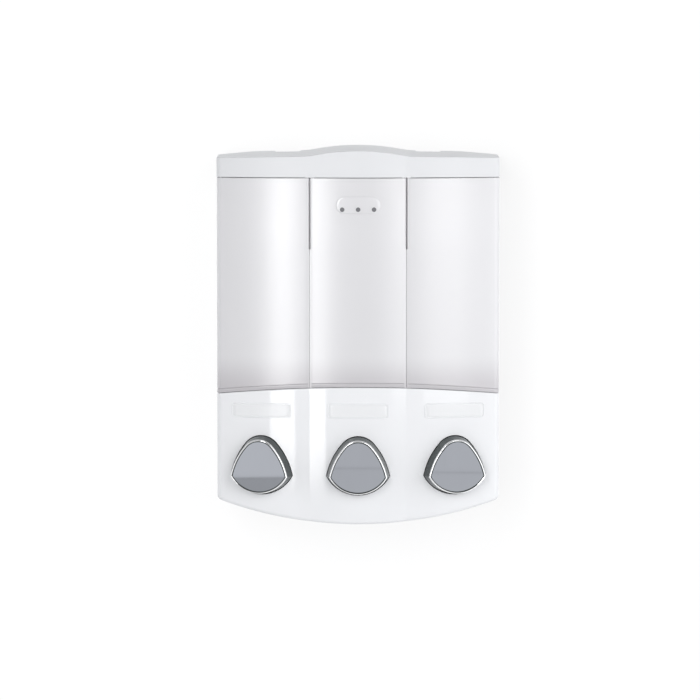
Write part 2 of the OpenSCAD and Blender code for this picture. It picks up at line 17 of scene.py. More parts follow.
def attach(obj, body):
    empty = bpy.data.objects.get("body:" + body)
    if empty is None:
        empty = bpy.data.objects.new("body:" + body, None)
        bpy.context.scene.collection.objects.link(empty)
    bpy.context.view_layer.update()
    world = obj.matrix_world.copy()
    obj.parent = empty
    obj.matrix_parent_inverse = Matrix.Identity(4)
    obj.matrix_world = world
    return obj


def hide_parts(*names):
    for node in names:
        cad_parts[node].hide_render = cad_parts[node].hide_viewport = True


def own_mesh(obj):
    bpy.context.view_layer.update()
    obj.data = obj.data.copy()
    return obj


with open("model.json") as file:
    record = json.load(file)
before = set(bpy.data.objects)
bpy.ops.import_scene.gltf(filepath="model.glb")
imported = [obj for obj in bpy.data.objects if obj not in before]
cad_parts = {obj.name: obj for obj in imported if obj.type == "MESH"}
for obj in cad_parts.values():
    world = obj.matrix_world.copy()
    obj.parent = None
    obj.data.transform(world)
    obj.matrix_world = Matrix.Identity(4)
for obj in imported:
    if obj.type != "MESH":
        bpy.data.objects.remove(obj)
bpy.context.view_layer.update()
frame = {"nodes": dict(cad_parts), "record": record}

MM = 0.001
SIDES = {"left": -1, "center": 0, "right": 1}

# ---- driving sizes, as in the CAD ----
HALF_W = 95.0
UNIT_D = 80.0
LOBE_R = 200.0
CREASE_X = 32.35
CREASE_YAW = math.radians(2.9)
CORNER_R = 5.0
SEAM_Z, SEAM_R, SEAM_GAP = -34.4, 855.0, 0.3
BOTTOM_Z, BOTTOM_R = -127.0, 300.0
HOUSING_T, TANK_T, FLOOR_T, LID_T, PANEL_T = 2.5, 1.8, 2.7, 2.2, 3.5
LID_Z = 105.8
CROWN_Z, CROWN_R = 119.9, 2500.0
WAVE_Z, WAVE_R = 123.5, 151.0
WAVE_REACH, CROWN_BLEND, CROWN_CLEAR = 60.0, 0.3, 12.0
LID_RISE = math.radians(1.6)
SHOULDER_X, SHOULDER_R, SHOULDER_FALL = 36.0, 495.0, math.radians(2.0)
HINGE_Y, HINGE_Z, HINGE_X, PIN_R = 14.0, 114.0, 48.0, 2.0
LIP_R = HINGE_Y - 0.1
LIP_ANGLE = math.radians(25)
NOTCH_HALF, NOTCH_Y = 8.6, -HINGE_Y - 1
KNUCKLE_R, KNUCKLE_W, KNUCKLE_WEB, KNUCKLE_TOP, PIN_GAP = 4.0, 8.4, 6.0, 5.6, 0.05
TANK_BACK, TANK_GAP, LAP_GAP, LAP_TOP, SLIT_D, RIM_H, RIM_T = 13.0, 0.5, 0.1, 58.0, 3.0, 3.0, 2.6
GAP_EDGE_R, LAP_BITE, LAP_DEPTH, RIB_DROP = 0.9, 0.9, 5.0, 0.62
TANK_TOP = LID_Z - 0.5
SEAM_BEAD = 0.3
COLLAR_T, WALL_GAP, NECK_HOLE_Z = 2.0, 0.3, (-50.0, -25.0)
BUTTON_PITCH, BUTTON_Z = 65.0, -87.0
BUTTON_OUT, BUTTON_IN, BUTTON_GAP = 8.0, 7.0, 0.4
FACE_TILT = math.radians(1.0)
PORT_U, NECK_R, NOZZLE_R, CUP_TOP = 34.0, 5.0, 5.0, -43.0
NECK_T, NECK_L, NECK_REACH = 1.6, 13.0, 6.0
SPRING_U0, SPRING_U1, WIRE_R, COIL_R, TURNS = 23.0, 39.5, 0.6, 6.2, 6
SPRING_GAP, END_SHARE, END_RISE = 0.1, 0.12, 1.3
BUTTON_CROWN, BUTTON_FOOT = (0.0, 5.8, 13.6), (0.0, 3.95, 23.85)
TIP_R, TIP_Z, BUTTON_UPPER_R = 1.0, -7.0, 47.0
BUTTON_DROP = 0.6
LABEL_Z, LABEL_W, LABEL_H, LABEL_R = -50.6, 40.0, 8.6, 1.5
BADGE_Z, BADGE_W, BADGE_H = 87.4, 29.6, 11.4
DOT_STEP, DOT_DROP, DOT_R = 10.6, 2.9, 1.5

LOBE_CY = LOBE_R - UNIT_D
CREASE_Y = LOBE_CY - math.sqrt(LOBE_R**2 - CREASE_X**2)
SIDE_CX = CREASE_X - LOBE_R * math.sin(CREASE_YAW)
SIDE_CY = CREASE_Y + LOBE_R * math.cos(CREASE_YAW)
SIDE_YAW = math.asin((BUTTON_PITCH - SIDE_CX) / LOBE_R)
SIDE_Y = SIDE_CY - LOBE_R * math.cos(SIDE_YAW)

CORNER_STEPS = 8
LOBE_STEPS = 44
SHELL_ROWS = 10
TANK_ROWS = 8
KNUCKLE_STEPS = 48
COIL_STEPS, WIRE_SIDES = 28, 10
CAP_RINGS = 7
OUTLINE_STEPS = 480
SHARP_R = 0.2


# ---- outline of a button from the front ----

def circle_round(a, b, r):
    """Circle of radius r that both circles touch from inside, centred left of the way from a to b."""
    d = math.dist(a[:2], b[:2])
    t = (d * d + (r - a[2]) ** 2 - (r - b[2]) ** 2) / (2 * d)
    h = math.sqrt((r - a[2]) ** 2 - t * t)
    ux, uz = (b[0] - a[0]) / d, (b[1] - a[1]) / d
    return a[0] + t * ux - h * uz, a[1] + t * uz + h * ux, r


def button_chain():
    """Arcs (x, z, radius) of the outline, anticlockwise: top, low side tips and bottom."""
    tip = (math.sqrt((BUTTON_FOOT[2] - TIP_R) ** 2 - (TIP_Z - BUTTON_FOOT[1]) ** 2), TIP_Z, TIP_R)
    upper = circle_round(tip, BUTTON_CROWN, BUTTON_UPPER_R)
    mirrored = [(-x, z, r) for x, z, r in (upper, tip)]
    return [tip, upper, BUTTON_CROWN, *mirrored, BUTTON_FOOT]


BUTTON_CHAIN = button_chain()


# ---- outline of the unit from above ----

def lobe_centre(side):
    """Centre of a lobe seen from above."""
    return (side * SIDE_CX, SIDE_CY) if side else (0.0, LOBE_CY)


def lobe_points(side, x0, x1, r0, r1, inset):
    """Points along one lobe seen from above, from left to right, drawn in by inset.

    x0 and x1 are its ends, and r0 and r1 the radii of the vertical edges there, or 0 at a valley.
    """
    cx, cy = lobe_centre(side)
    big = LOBE_R - inset
    head, tail = [], []
    start = math.asin((x0 - cx) / big)
    end = math.asin((x1 - cx) / big)
    if r0:
        er = max(r0 - inset, SHARP_R)
        ex = x0 + inset + er
        start = math.asin((ex - cx) / (big - er))
        ey = cy - (big - er) * math.cos(start)
        turns = [-math.pi / 2 + (start + math.pi / 2) * k / CORNER_STEPS for k in range(CORNER_STEPS)]
        head = [(ex + er * math.sin(a), ey - er * math.cos(a)) for a in turns]
    if r1:
        er = max(r1 - inset, SHARP_R)
        ex = x1 - inset - er
        end = math.asin((ex - cx) / (big - er))
        ey = cy - (big - er) * math.cos(end)
        turns = [end + (math.pi / 2 - end) * k / CORNER_STEPS for k in range(1, CORNER_STEPS + 1)]
        tail = [(ex + er * math.sin(a), ey - er * math.cos(a)) for a in turns]
    turns = [start + (end - start) * k / LOBE_STEPS for k in range(LOBE_STEPS + 1)]
    return head + [(cx + big * math.sin(a), cy - big * math.cos(a)) for a in turns] + tail


def valley_x(inset):
    """Where the drawn-in lobes meet: a point equally far from both centres."""
    valley = Vector((CREASE_X, CREASE_Y))
    middle = Vector((SIDE_CX / 2, (LOBE_CY + SIDE_CY) / 2))
    along = (middle - valley).normalized()
    from_centre = valley - Vector((0.0, LOBE_CY))
    b = from_centre.dot(along)
    t = -b - math.sqrt(b * b - (LOBE_R**2 - (LOBE_R - inset) ** 2))
    return CREASE_X + along.x * t


def unit_outline(inset):
    """The whole front outline seen from above, left to right."""
    v = valley_x(inset)
    left = lobe_points(-1, -HALF_W, -v, CORNER_R, 0, inset)
    middle = lobe_points(0, -v, v, 0, 0, inset)
    right = lobe_points(1, v, HALF_W, 0, CORNER_R, inset)
    return left + middle[1:-1] + right


def bottom_z(x, _y=0.0):
    """Height of the curved bottom."""
    return BOTTOM_Z + BOTTOM_R - math.sqrt(BOTTOM_R**2 - x * x)


def seam_z(x, _y=0.0):
    """Height of the arched seam between housing and tanks."""
    return SEAM_Z - SEAM_R + math.sqrt(SEAM_R**2 - x * x)


def shoulder_z(x, y):
    """Height of the shoulders, which fall towards the wall and the sides."""
    top = CROWN_Z + UNIT_D * math.tan(LID_RISE) - y * math.tan(SHOULDER_FALL)
    return top - SHOULDER_R + math.sqrt(SHOULDER_R**2 - (abs(x) - SHOULDER_X) ** 2)


def lid_top_z(x, y):
    """Crown and wave of the lid, blended, rising towards the wall."""
    crown = CROWN_Z - CROWN_R + math.sqrt(CROWN_R**2 - x * x)
    wave = WAVE_Z - WAVE_R + math.sqrt(WAVE_R**2 - min(abs(x), WAVE_REACH) ** 2)
    above = crown - wave
    if above < CROWN_CLEAR:
        above = CROWN_BLEND * math.log(math.exp(above / CROWN_BLEND) + 1)
    z = wave + above + (y + UNIT_D) * math.tan(LID_RISE)
    if abs(x) > SHOULDER_X:
        z = min(z, shoulder_z(x, y))
    return z


# ---- mesh helpers ----

def in_scene(name, data):
    """Object round a mesh, lamp or camera, linked into the scene."""
    obj = bpy.data.objects.new(name, data)
    bpy.context.scene.collection.objects.link(obj)
    return obj


def from_bmesh(name, bm, materials):
    """Object with the bmesh's faces as they are."""
    mesh = bpy.data.meshes.new(name)
    bm.to_mesh(mesh)
    bm.free()
    for m in materials:
        mesh.materials.append(m)
    return in_scene(name, mesh)


def shade(mesh, smooth_angle=32):
    """Shades a mesh smooth, with sharp edges above the angle."""
    mesh.shade_smooth()
    mesh.set_sharp_from_angle(angle=math.radians(smooth_angle))


def new_object(name, bm, materials, smooth_angle=32):
    """Turns a bmesh in millimetres into an object in metres, shaded smooth below the angle."""
    bmesh.ops.remove_doubles(bm, verts=bm.verts, dist=0.0005)
    bmesh.ops.recalc_face_normals(bm, faces=bm.faces)
    bmesh.ops.scale(bm, vec=(MM, MM, MM), verts=bm.verts)
    obj = from_bmesh(name, bm, materials)
    shade(obj.data, smooth_angle)
    return obj


def apply_modifiers(obj):
    """Applies an object's modifiers to its mesh."""
    graph = bpy.context.evaluated_depsgraph_get()
    mesh = bpy.data.meshes.new_from_object(obj.evaluated_get(graph), depsgraph=graph)
    obj.modifiers.clear()
    old = obj.data
    obj.data = mesh
    bpy.data.meshes.remove(old)
    shade(mesh)


def even_shading(obj):
    """Evens out the shading of an object's flat and rounded faces."""
    even = obj.modifiers.new("shading", "WEIGHTED_NORMAL")
    even.keep_sharp = True


def join(name, parts):
    """Joins finished objects into one."""
    bm = bmesh.new()
    materials = []
    for part in parts:
        start = len(bm.faces)
        bm.from_mesh(part.data)
        bm.faces.ensure_lookup_table()
        slots = []
        for m in part.data.materials:
            if m not in materials:
                materials.append(m)
            slots.append(materials.index(m))
        for f in bm.faces[start:]:
            f.material_index = slots[f.material_index]
    obj = from_bmesh(name, bm, materials)
    for part in parts:
        bpy.data.objects.remove(part)
    return obj


def bridge(bm, low, high, mark=0):
    """Quads between two closed rings of equally many points."""
    for k in range(len(low)):
        n = (k + 1) % len(low)
        face = bm.faces.new((low[k], low[n], high[n], high[k]))
        face.material_index = mark


def fan(bm, ring, centre, mark=0):
    """Triangles from a closed ring to a point."""
    for k in range(len(ring)):
        face = bm.faces.new((ring[k], ring[(k + 1) % len(ring)], centre))
        face.material_index = mark


def sheet_grid(ring, n, m):
    """Grid of a sheet, its edges taken from a ring of m points, n front points and m points."""
    grid = [[None] * (m + 1) for _ in range(n)]
    for i in range(n):
        grid[i][0] = ring[m + i]
    for j in range(1, m + 1):
        grid[0][j] = ring[m - j]
        grid[n - 1][j] = ring[m + n - 1 + j]
    return grid


def grid_faces(bm, grid):
    """Quads between the points of a grid."""
    for a, b in zip(grid, grid[1:]):
        for j in range(len(a) - 1):
            bm.faces.new((a[j], b[j], b[j + 1], a[j + 1]))


def skin(bm, outline, rows, levels, top, floor=None):
    """One surface of a shell: walls through the levels, a top sheet and, if asked, a floor sheet.

    outline(inset) gives the front points, and rows(x, y) the depths from one back to the rear edge.
    levels are (inset, height function of x and y), upwards. Returns the lines where a second
    surface is joined: rear top, rear floor or lower edge, and the two sides.
    """
    rings = []
    for inset, height in levels:
        front = outline(inset)
        left = [(front[0][0], y) for y in reversed(rows(*front[0])[1:])]
        right = [(front[-1][0], y) for y in rows(*front[-1])[1:]]
        rings.append([bm.verts.new((x, y, height(x, y))) for x, y in left + front + right])
    for low, high in zip(rings, rings[1:]):
        for k in range(len(low) - 1):
            bm.faces.new((low[k], low[k + 1], high[k + 1], high[k]))

    def sheet(ring, inset, height):
        front = outline(inset)
        n = len(front)
        m = (len(ring) - n) // 2
        grid = sheet_grid(ring, n, m)
        for i in range(1, n - 1):
            x, y = front[i]
            depths = rows(x, y)
            for j in range(1, m + 1):
                grid[i][j] = bm.verts.new((x, depths[j], height(x, depths[j])))
        grid_faces(bm, grid)
        return [column[-1] for column in grid]

    rear_top = sheet(rings[-1], levels[-1][0], top)
    rear_low = sheet(rings[0], levels[0][0], floor) if floor else rings[0]
    return rear_top, rear_low, [r[0] for r in rings], [r[-1] for r in rings]


def double_skin(name, outline, rows, outer, inner, look):
    """Shell between two skins, closed along their free edges. outer and inner are (levels, top, floor)."""
    bm = bmesh.new()
    edges = [skin(bm, outline, kind, *surface) for kind, surface in zip(rows, (outer, inner))]
    for a, b in zip(*edges):
        for k in range(len(a) - 1):
            if len({a[k], a[k + 1], b[k], b[k + 1]}) == 4:
                bm.faces.new((a[k], a[k + 1], b[k + 1], b[k]))
    return new_object(name, bm, [look])


def fillet_levels(r, height, rising, steps=5):
    """Levels of an edge of radius r at a height function: a top edge if rising, else a bottom edge."""
    levels = []
    for k in range(steps + 1):
        t = k / steps if rising else 1 - k / steps
        a = t * math.pi / 2
        inset = r * (1 - math.cos(a))
        drop = r * (1 - math.sin(a))
        sign = -1 if rising else 1
        levels.append((inset, lambda x, y, d=sign * drop: height(x, y) + d))
    return levels


def chain_outline(chain, inset=0.0, step=math.radians(5)):
    """Band round circles (x, z, radius) given anticlockwise, drawn in by inset."""
    circles = [(x, z, max(r - inset, 0.02)) for x, z, r in chain]

    def touch(a, b):
        dx, dz = b[0] - a[0], b[1] - a[1]
        return math.atan2(dz, dx) - math.acos(min(1.0, max(-1.0, (a[2] - b[2]) / math.hypot(dx, dz))))

    n = len(circles)
    points = []
    for i, c in enumerate(circles):
        a0 = touch(circles[i - 1], c)
        turn = (touch(c, circles[(i + 1) % n]) - a0) % (2 * math.pi)
        m = max(3, math.ceil(max(turn, 0.0) / step))
        for k in range(m + 1):
            a = a0 + turn * k / m
            points.append((c[0] + c[2] * math.cos(a), c[1] + c[2] * math.sin(a)))
    return points


def even_outline(points, count):
    """The same closed outline with count points, evenly spaced from its top."""
    top = max(range(len(points)), key=lambda k: (points[k][1], -abs(points[k][0])))
    points = points[top:] + points[:top] + [points[top]]
    lengths = [0.0]
    for a, b in zip(points, points[1:]):
        lengths.append(lengths[-1] + math.dist(a, b))
    result = []
    j = 0
    for k in range(count):
        target = lengths[-1] * k / count
        while lengths[j + 1] < target:
            j += 1
        span = lengths[j + 1] - lengths[j]
        t = (target - lengths[j]) / span if span else 0.0
        a, b = points[j], points[j + 1]
        result.append((a[0] + (b[0] - a[0]) * t, a[1] + (b[1] - a[1]) * t))
    return result


def rounded_box_chain(w, h, r):
    """Corner circles of a rounded rectangle round the origin."""
    x, z = w / 2 - r, h / 2 - r
    return [(x, -z, r), (x, z, r), (-x, z, r), (-x, -z, r)]


def loft(chain, profile, place, count=160, cap=True, closed=False):
    """Skin through a profile of (inset, height) of an outline; place maps (a, z, height) to a point."""
    bm = bmesh.new()
    rings = []
    for inset, height in profile:
        ring = even_outline(chain_outline(chain, inset), count)
        rings.append([bm.verts.new(place(a, z, height)) for a, z in ring])
    if cap:
        last = even_outline(chain_outline(chain, profile[-1][0]), count)
        height = profile[-1][1]
        for k in range(1, CAP_RINGS):
            s = 1 - k / CAP_RINGS
            rings.append([bm.verts.new(place(a * s, z * s, height)) for a, z in last])
        fan(bm, rings[-1], bm.verts.new(place(0, 0, height)))
    if closed:
        rings.append(rings[0])
    for low, high in zip(rings, rings[1:]):
        bridge(bm, low, high)
    return bm


def button_origin(side):
    """Where a button's axis meets the front of its lobe."""
    return Vector((side * BUTTON_PITCH, SIDE_Y if side else -UNIT_D, 0.0))


def button_axis(side):
    """Unit vector into the housing along a button's travel."""
    a = side * SIDE_YAW
    return Vector((-math.sin(a), math.cos(a), 0.0))


def straight_place(side):
    """Places outline points across a button's axis; heights run outwards."""
    origin, inward = button_origin(side), button_axis(side)
    across = Vector((inward.y, -inward.x, 0.0))

    def place(a, z, height):
        return origin + across * a + Vector((0, 0, BUTTON_Z + z)) - inward * height

    return place


def curved_place(side, centre_x, centre_z):
    """Wraps outline points round a lobe; heights run outwards from its surface."""
    cx, cy = lobe_centre(side)
    middle = math.asin((centre_x - cx) / LOBE_R)

    def place(a, z, height):
        turn = middle + a / LOBE_R
        r = LOBE_R + height
        return Vector((cx + r * math.sin(turn), cy - r * math.cos(turn), centre_z + z))

    return place


def lathe(profile, origin, axis, count=64):
    """Turned solid round a line, from a closed profile of (distance along, radius)."""
    axis = axis.normalized()
    side = axis.orthogonal().normalized()
    other = axis.cross(side)
    bm = bmesh.new()
    rings = []
    for along, radius in profile:
        ring = []
        for k in range(count):
            a = 2 * math.pi * k / count
            radial = side * math.cos(a) + other * math.sin(a)
            ring.append(bm.verts.new(origin + axis * along + radial * radius))
        rings.append(ring)
    for low, high in zip(rings, rings[1:] + rings[:1]):
        bridge(bm, low, high)
    return bm


def box_mesh(low, high):
    """Box between two opposite corners."""
    bm = bmesh.new()
    bmesh.ops.create_cube(bm, size=1)
    for v in bm.verts:
        v.co = Vector([low[k] + (v.co[k] + 0.5) * (high[k] - low[k]) for k in range(3)])
    return bm


def cut(obj, cutter_bm):
    """Cuts a closed bmesh out of an object and applies it."""
    cutter = new_object("cutter", cutter_bm, [])
    modifier = obj.modifiers.new("cut", "BOOLEAN")
    modifier.operation = "DIFFERENCE"
    modifier.solver = "EXACT"
    modifier.object = cutter
    bpy.context.view_layer.update()
    apply_modifiers(obj)
    bpy.data.objects.remove(cutter)


# ---- materials ----

def settle(node, values):
    """Sets a node's inputs by name."""
    for key, value in values.items():
        node.inputs[key].default_value = value


def material(name, base, roughness, metallic=0.0, coat=0.0, transmission=0.0, ior=1.5):
    """Principled material, with its nodes for more detail."""
    m = bpy.data.materials.new(name)
    m.use_nodes = True
    tree = m.node_tree
    shader = tree.nodes["Principled BSDF"]
    settle(shader, {
        "Base Color": (*base, 1), "Roughness": roughness, "Metallic": metallic,
        "Coat Weight": coat, "Transmission Weight": transmission, "IOR": ior,
    })
    return m, tree, shader


def noise(tree, scale, detail=4.0, stretch=(1, 1, 1)):
    """Noise in object space, in features per metre."""
    where = tree.nodes.new("ShaderNodeTexCoord")
    mapping = tree.nodes.new("ShaderNodeMapping")
    settle(mapping, {"Scale": stretch})
    texture = tree.nodes.new("ShaderNodeTexNoise")
    settle(texture, {"Scale": scale, "Detail": detail})
    tree.links.new(where.outputs["Object"], mapping.inputs["Vector"])
    tree.links.new(mapping.outputs["Vector"], texture.inputs["Vector"])
    return texture.outputs["Fac"]


def ramp(tree, source, low, high, low_at=0.3, high_at=0.7):
    """Maps a 0..1 value to a range of colours."""
    node = tree.nodes.new("ShaderNodeValToRGB")
    node.color_ramp.elements[0].position = low_at
    node.color_ramp.elements[1].position = high_at
    node.color_ramp.elements[0].color = (*low, 1)
    node.color_ramp.elements[1].color = (*high, 1)
    tree.links.new(source, node.inputs["Fac"])
    return node.outputs["Color"]


def spread(tree, source, low, high):
    """Maps a 0..1 value to a range of numbers."""
    node = tree.nodes.new("ShaderNodeMapRange")
    settle(node, {"To Min": low, "To Max": high})
    tree.links.new(source, node.inputs["Value"])
    return node.outputs["Result"]


def vary(tree, shader, source, base, by, gloss=None, reach=(0.3, 0.7)):
    """Varies the base colour, and the roughness if asked, with a 0..1 value."""
    tone = ramp(tree, source, tinted(base, by), base, *reach)
    tree.links.new(tone, shader.inputs["Base Color"])
    if gloss:
        tree.links.new(spread(tree, source, *gloss), shader.inputs["Roughness"])


def bump(tree, shader, source, strength, distance):
    """Gives the shader a relief from a 0..1 value."""
    node = tree.nodes.new("ShaderNodeBump")
    settle(node, {"Strength": strength, "Distance": distance})
    tree.links.new(source, node.inputs["Height"])
    tree.links.new(node.outputs["Normal"], shader.inputs["Normal"])


def remap(tree, source, x0, x1, y0, y1):
    """Source from x0..x1 eased to y0..y1 and held beyond."""
    node = tree.nodes.new("ShaderNodeMapRange")
    node.interpolation_type = "SMOOTHSTEP"
    tree.links.new(source, node.inputs["Value"])
    settle(node, {"From Min": x0, "From Max": x1, "To Min": y0, "To Max": y1})
    return node.outputs["Result"]


def combine(tree, operation, a, b):
    """Result of a maths node on two sockets or numbers."""
    node = tree.nodes.new("ShaderNodeMath")
    node.operation = operation
    for k, value in enumerate((a, b)):
        if isinstance(value, (int, float)):
            node.inputs[k].default_value = value
        else:
            tree.links.new(value, node.inputs[k])
    return node.outputs[0]


def tinted(base, by):
    """Colour multiplied by a factor."""
    return tuple(min(1.0, c * by) for c in base)


def plastic(name, base, roughness, grain, relief, mottling=0.985):
    """Moulded plastic with slight mottling of colour and gloss.

    grain is the mould's texture in features per metre, and relief its height in metres.
    """
    m, tree, shader = material(name, base, roughness)
    wide = noise(tree, scale=35, detail=3)
    vary(tree, shader, wide, base, mottling, (roughness * 0.85, roughness * 1.2))
    bump(tree, shader, noise(tree, scale=grain, detail=2), strength=0.25, distance=relief)
    return m


# Painted shade near the tanks' floor: this darker lavender colour at z = -36 mm, eased to the plain tank
# colour at z = -12 mm, in object space.
PAINTED_FLOOR_SHADE = (0.70, 0.675, 0.70)
PAINTED_FLOOR_SHADE_Z = (-36.0, -12.0)


def frosted(name):
    """Frosted tank plastic: lets light through, with faint upright flow lines and painted shade, darker and
    lavender, near its floor.
    """
    base = (0.915, 0.907, 0.925)
    m, tree, shader = material(name, base, roughness=0.30, coat=1.0, transmission=0.22, ior=1.45)
    settle(shader, {"Coat Roughness": 0.26, "Coat IOR": 1.85})
    flow = noise(tree, scale=30, detail=1, stretch=(1.0, 1.0, 0.1))
    where = tree.nodes.new("ShaderNodeTexCoord")
    split = tree.nodes.new("ShaderNodeSeparateXYZ")
    tree.links.new(where.outputs["Object"], split.inputs["Vector"])
    low, high = (z * MM for z in PAINTED_FLOOR_SHADE_Z)
    # Painted shade: the darker colour is mixed in towards the tank's floor.
    mix = tree.nodes.new("ShaderNodeMix")
    mix.data_type = "RGBA"
    mix.inputs["A"].default_value = (*PAINTED_FLOOR_SHADE, 1.0)
    tree.links.new(remap(tree, split.outputs["Z"], low, high, 0.0, 1.0), mix.inputs["Factor"])
    tree.links.new(ramp(tree, flow, tinted(base, 0.975), base), mix.inputs["B"])
    tree.links.new(mix.outputs["Result"], shader.inputs["Base Color"])
    tree.links.new(spread(tree, flow, 0.27, 0.31), shader.inputs["Roughness"])
    bump(tree, shader, noise(tree, scale=2500, detail=2), strength=0.35, distance=0.00008)
    return m


def chrome(name, base, roughness):
    """Plated plastic: mirror with faint wiping marks."""
    m, tree, shader = material(name, base, roughness, metallic=1.0)
    wipes = noise(tree, scale=90, detail=4, stretch=(1.0, 1.0, 0.4))
    vary(tree, shader, wipes, base, 0.97, (roughness * 0.6, roughness * 1.6))
    return m


def steel(name):
    """Drawn stainless steel with fine marks along it."""
    base = (0.62, 0.63, 0.65)
    m, tree, shader = material(name, base, roughness=0.3, metallic=1.0)
    drawn = noise(tree, scale=900, detail=3, stretch=(0.15, 1.0, 1.0))
    vary(tree, shader, drawn, base, 0.85, (0.22, 0.4))
    bump(tree, shader, drawn, strength=0.2, distance=0.00003)
    return m


def silicone(name):
    """Cloudy silicone rubber."""
    base = (0.80, 0.81, 0.81)
    m, tree, shader = material(name, base, roughness=0.45, transmission=0.25, ior=1.41)
    soft = noise(tree, scale=300, detail=3)
    vary(tree, shader, soft, base, 0.94)
    bump(tree, shader, soft, strength=0.3, distance=0.00005)
    return m


def foam(name):
    """Grey foam tape with small open cells."""
    base = (0.60, 0.61, 0.62)
    m, tree, shader = material(name, base, roughness=0.9)
    cells = tree.nodes.new("ShaderNodeTexVoronoi")
    where = tree.nodes.new("ShaderNodeTexCoord")
    settle(cells, {"Scale": 1400})
    tree.links.new(where.outputs["Object"], cells.inputs["Vector"])
    vary(tree, shader, cells.outputs["Distance"], base, 0.75, reach=(0.0, 0.5))
    bump(tree, shader, cells.outputs["Distance"], strength=0.6, distance=0.0002)
    return m


WHITE = plastic("white_gloss_plastic", (0.905, 0.91, 0.925), roughness=0.06, grain=900, relief=0.00002)
PUMP = plastic("pump_plastic", (0.80, 0.81, 0.82), roughness=0.42, grain=2200, relief=0.00006, mottling=0.96)
SATIN = plastic("white_satin_plastic", (0.80, 0.805, 0.82), roughness=0.38, grain=1200, relief=0.00004)
LABEL = plastic("label_satin", (0.875, 0.88, 0.89), roughness=0.2, grain=3000, relief=0.00002, mottling=0.98)
DARK = plastic("dark_trim", (0.19, 0.19, 0.20), roughness=0.3, grain=1500, relief=0.00003, mottling=0.8)
TANK = frosted("frosted_tank_plastic")
CHROME = chrome("chrome_face", (0.524, 0.541, 0.582), roughness=0.012)
# Near-white copy of the chrome: painted highlight on the buttons' rounded rims.
HIGHLIGHT_CHROME = chrome("chrome_lip_painted_highlight", (0.98, 0.98, 0.98), roughness=0.06)
# Darker copy of the chrome: painted shade on the button flanks, in their grooves and on their linings.
SHADED_CHROME = chrome("chrome_flank_painted_shade", (0.080, 0.090, 0.090), roughness=0.12)
STEEL = steel("stainless_steel")
SILICONE = silicone("clear_silicone")
FOAM = foam("foam_tape")
BY_SLOT = {
    "white_plastic": WHITE, "frosted_plastic": TANK, "chrome": CHROME, "steel": STEEL,
    "pump_plastic": PUMP, "silicone": SILICONE, "label": LABEL, "dark_trim": DARK, "foam": FOAM,
}


# ---- pieces ----

def finish_piece(obj, body, slot, *nodes):
    """Lets an object ride a body in place of the named CAD nodes; slot is not used."""
    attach(obj, body)
    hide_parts(*nodes)


def make_housing():
    """Lower housing: its shell with button collars and label frames."""
    parts = [housing_shell()]
    for side in SIDES.values():
        parts += [button_collar(side), label_frame(side)]
    housing = join("housing_shell_fine", parts)
    even_shading(housing)
    finish_piece(housing, "housing", "white_plastic", "base_housing")


def housing_shell():
    """Shell of the lower housing, cut for buttons, necks, nozzles and the back panel."""
    deck = lambda x, y: seam_z(x) - SEAM_GAP
    deck_inside = lambda x, y: deck(x, y) - HOUSING_T
    floor_inside = lambda x, y: bottom_z(x) + HOUSING_T
    outer = fillet_levels(2.6, bottom_z, rising=False) + fillet_levels(0.7, deck, rising=True)
    inner = fillet_levels(0.6, floor_inside, rising=False) + fillet_levels(0.3, deck_inside, rising=True)
    inner = [(inset + HOUSING_T, height) for inset, height in inner]
    rows = lambda x, y: [y + (-WALL_GAP - y) * j / SHELL_ROWS for j in range(SHELL_ROWS + 1)]
    shell = double_skin("housing_shell", unit_outline, (rows, rows), (outer, deck, bottom_z),
                        (inner, deck_inside, floor_inside), WHITE)
    neck_hole = (NECK_R + 2, *NECK_HOLE_Z)
    nozzle_hole = (NOZZLE_R + 1, BOTTOM_Z - 5, BOTTOM_Z + 20)
    for side in SIDES.values():
        cut(shell, closed_prism(BUTTON_CHAIN, -BUTTON_GAP, 6, -9, straight_place(side)))
        for radius, low, high in (neck_hole, nozzle_hole):
            cut(shell, upright_cylinder(port_line(side, (low + high) / 2), radius, high - low))
    notch = HALF_W - HOUSING_T - 0.2
    cut(shell, box_mesh((-notch, -PANEL_T - WALL_GAP, SEAM_Z - 15), (notch, 1, SEAM_Z + 1)))
    return shell


def port_line(side, z):
    """Point at height z on the upright line through a pump's ports."""
    port = button_origin(side) + button_axis(side) * PORT_U
    return Vector((port.x, port.y, z))


def upright_cylinder(middle, radius, height):
    """Solid upright cylinder round a middle point."""
    bm = bmesh.new()
    bmesh.ops.create_cone(bm, cap_ends=True, segments=64, radius1=radius, radius2=radius,
                          depth=height, matrix=Matrix.Translation(middle))
    return bm


def button_collar(side):
    """Wall round a button opening inside the housing."""
    inner, outer = -BUTTON_GAP, -BUTTON_GAP - COLLAR_T
    profile = [(outer, -1.8), (outer, -9.5), (inner, -9.5), (inner, -1.8)]
    ring = loft(BUTTON_CHAIN, profile, straight_place(side), 120, cap=False, closed=True)
    return new_object("collar", ring, [WHITE])


def label_frame(side):
    """Low rounded frame round a label plate."""
    profile = [(-0.75, -0.3), (-0.7, 0.22), (-0.5, 0.4), (-0.15, 0.4), (0.02, 0.25), (0.05, -0.3)]
    place = curved_place(side, side * BUTTON_PITCH, LABEL_Z)
    ring = loft(rounded_box_chain(LABEL_W, LABEL_H, LABEL_R), profile, place, cap=False, closed=True)
    return new_object("label_frame", ring, [WHITE])


def closed_prism(chain, inset, near, far, place):
    """Solid bar with the outline of a chain."""
    bm = bmesh.new()
    points = chain_outline(chain, inset)[:-1]
    ends = [[bm.verts.new(place(a, z, height)) for a, z in points] for height in (near, far)]
    bridge(bm, *ends)
    bm.faces.new(ends[0])
    bm.faces.new(ends[1][::-1])
    return bm


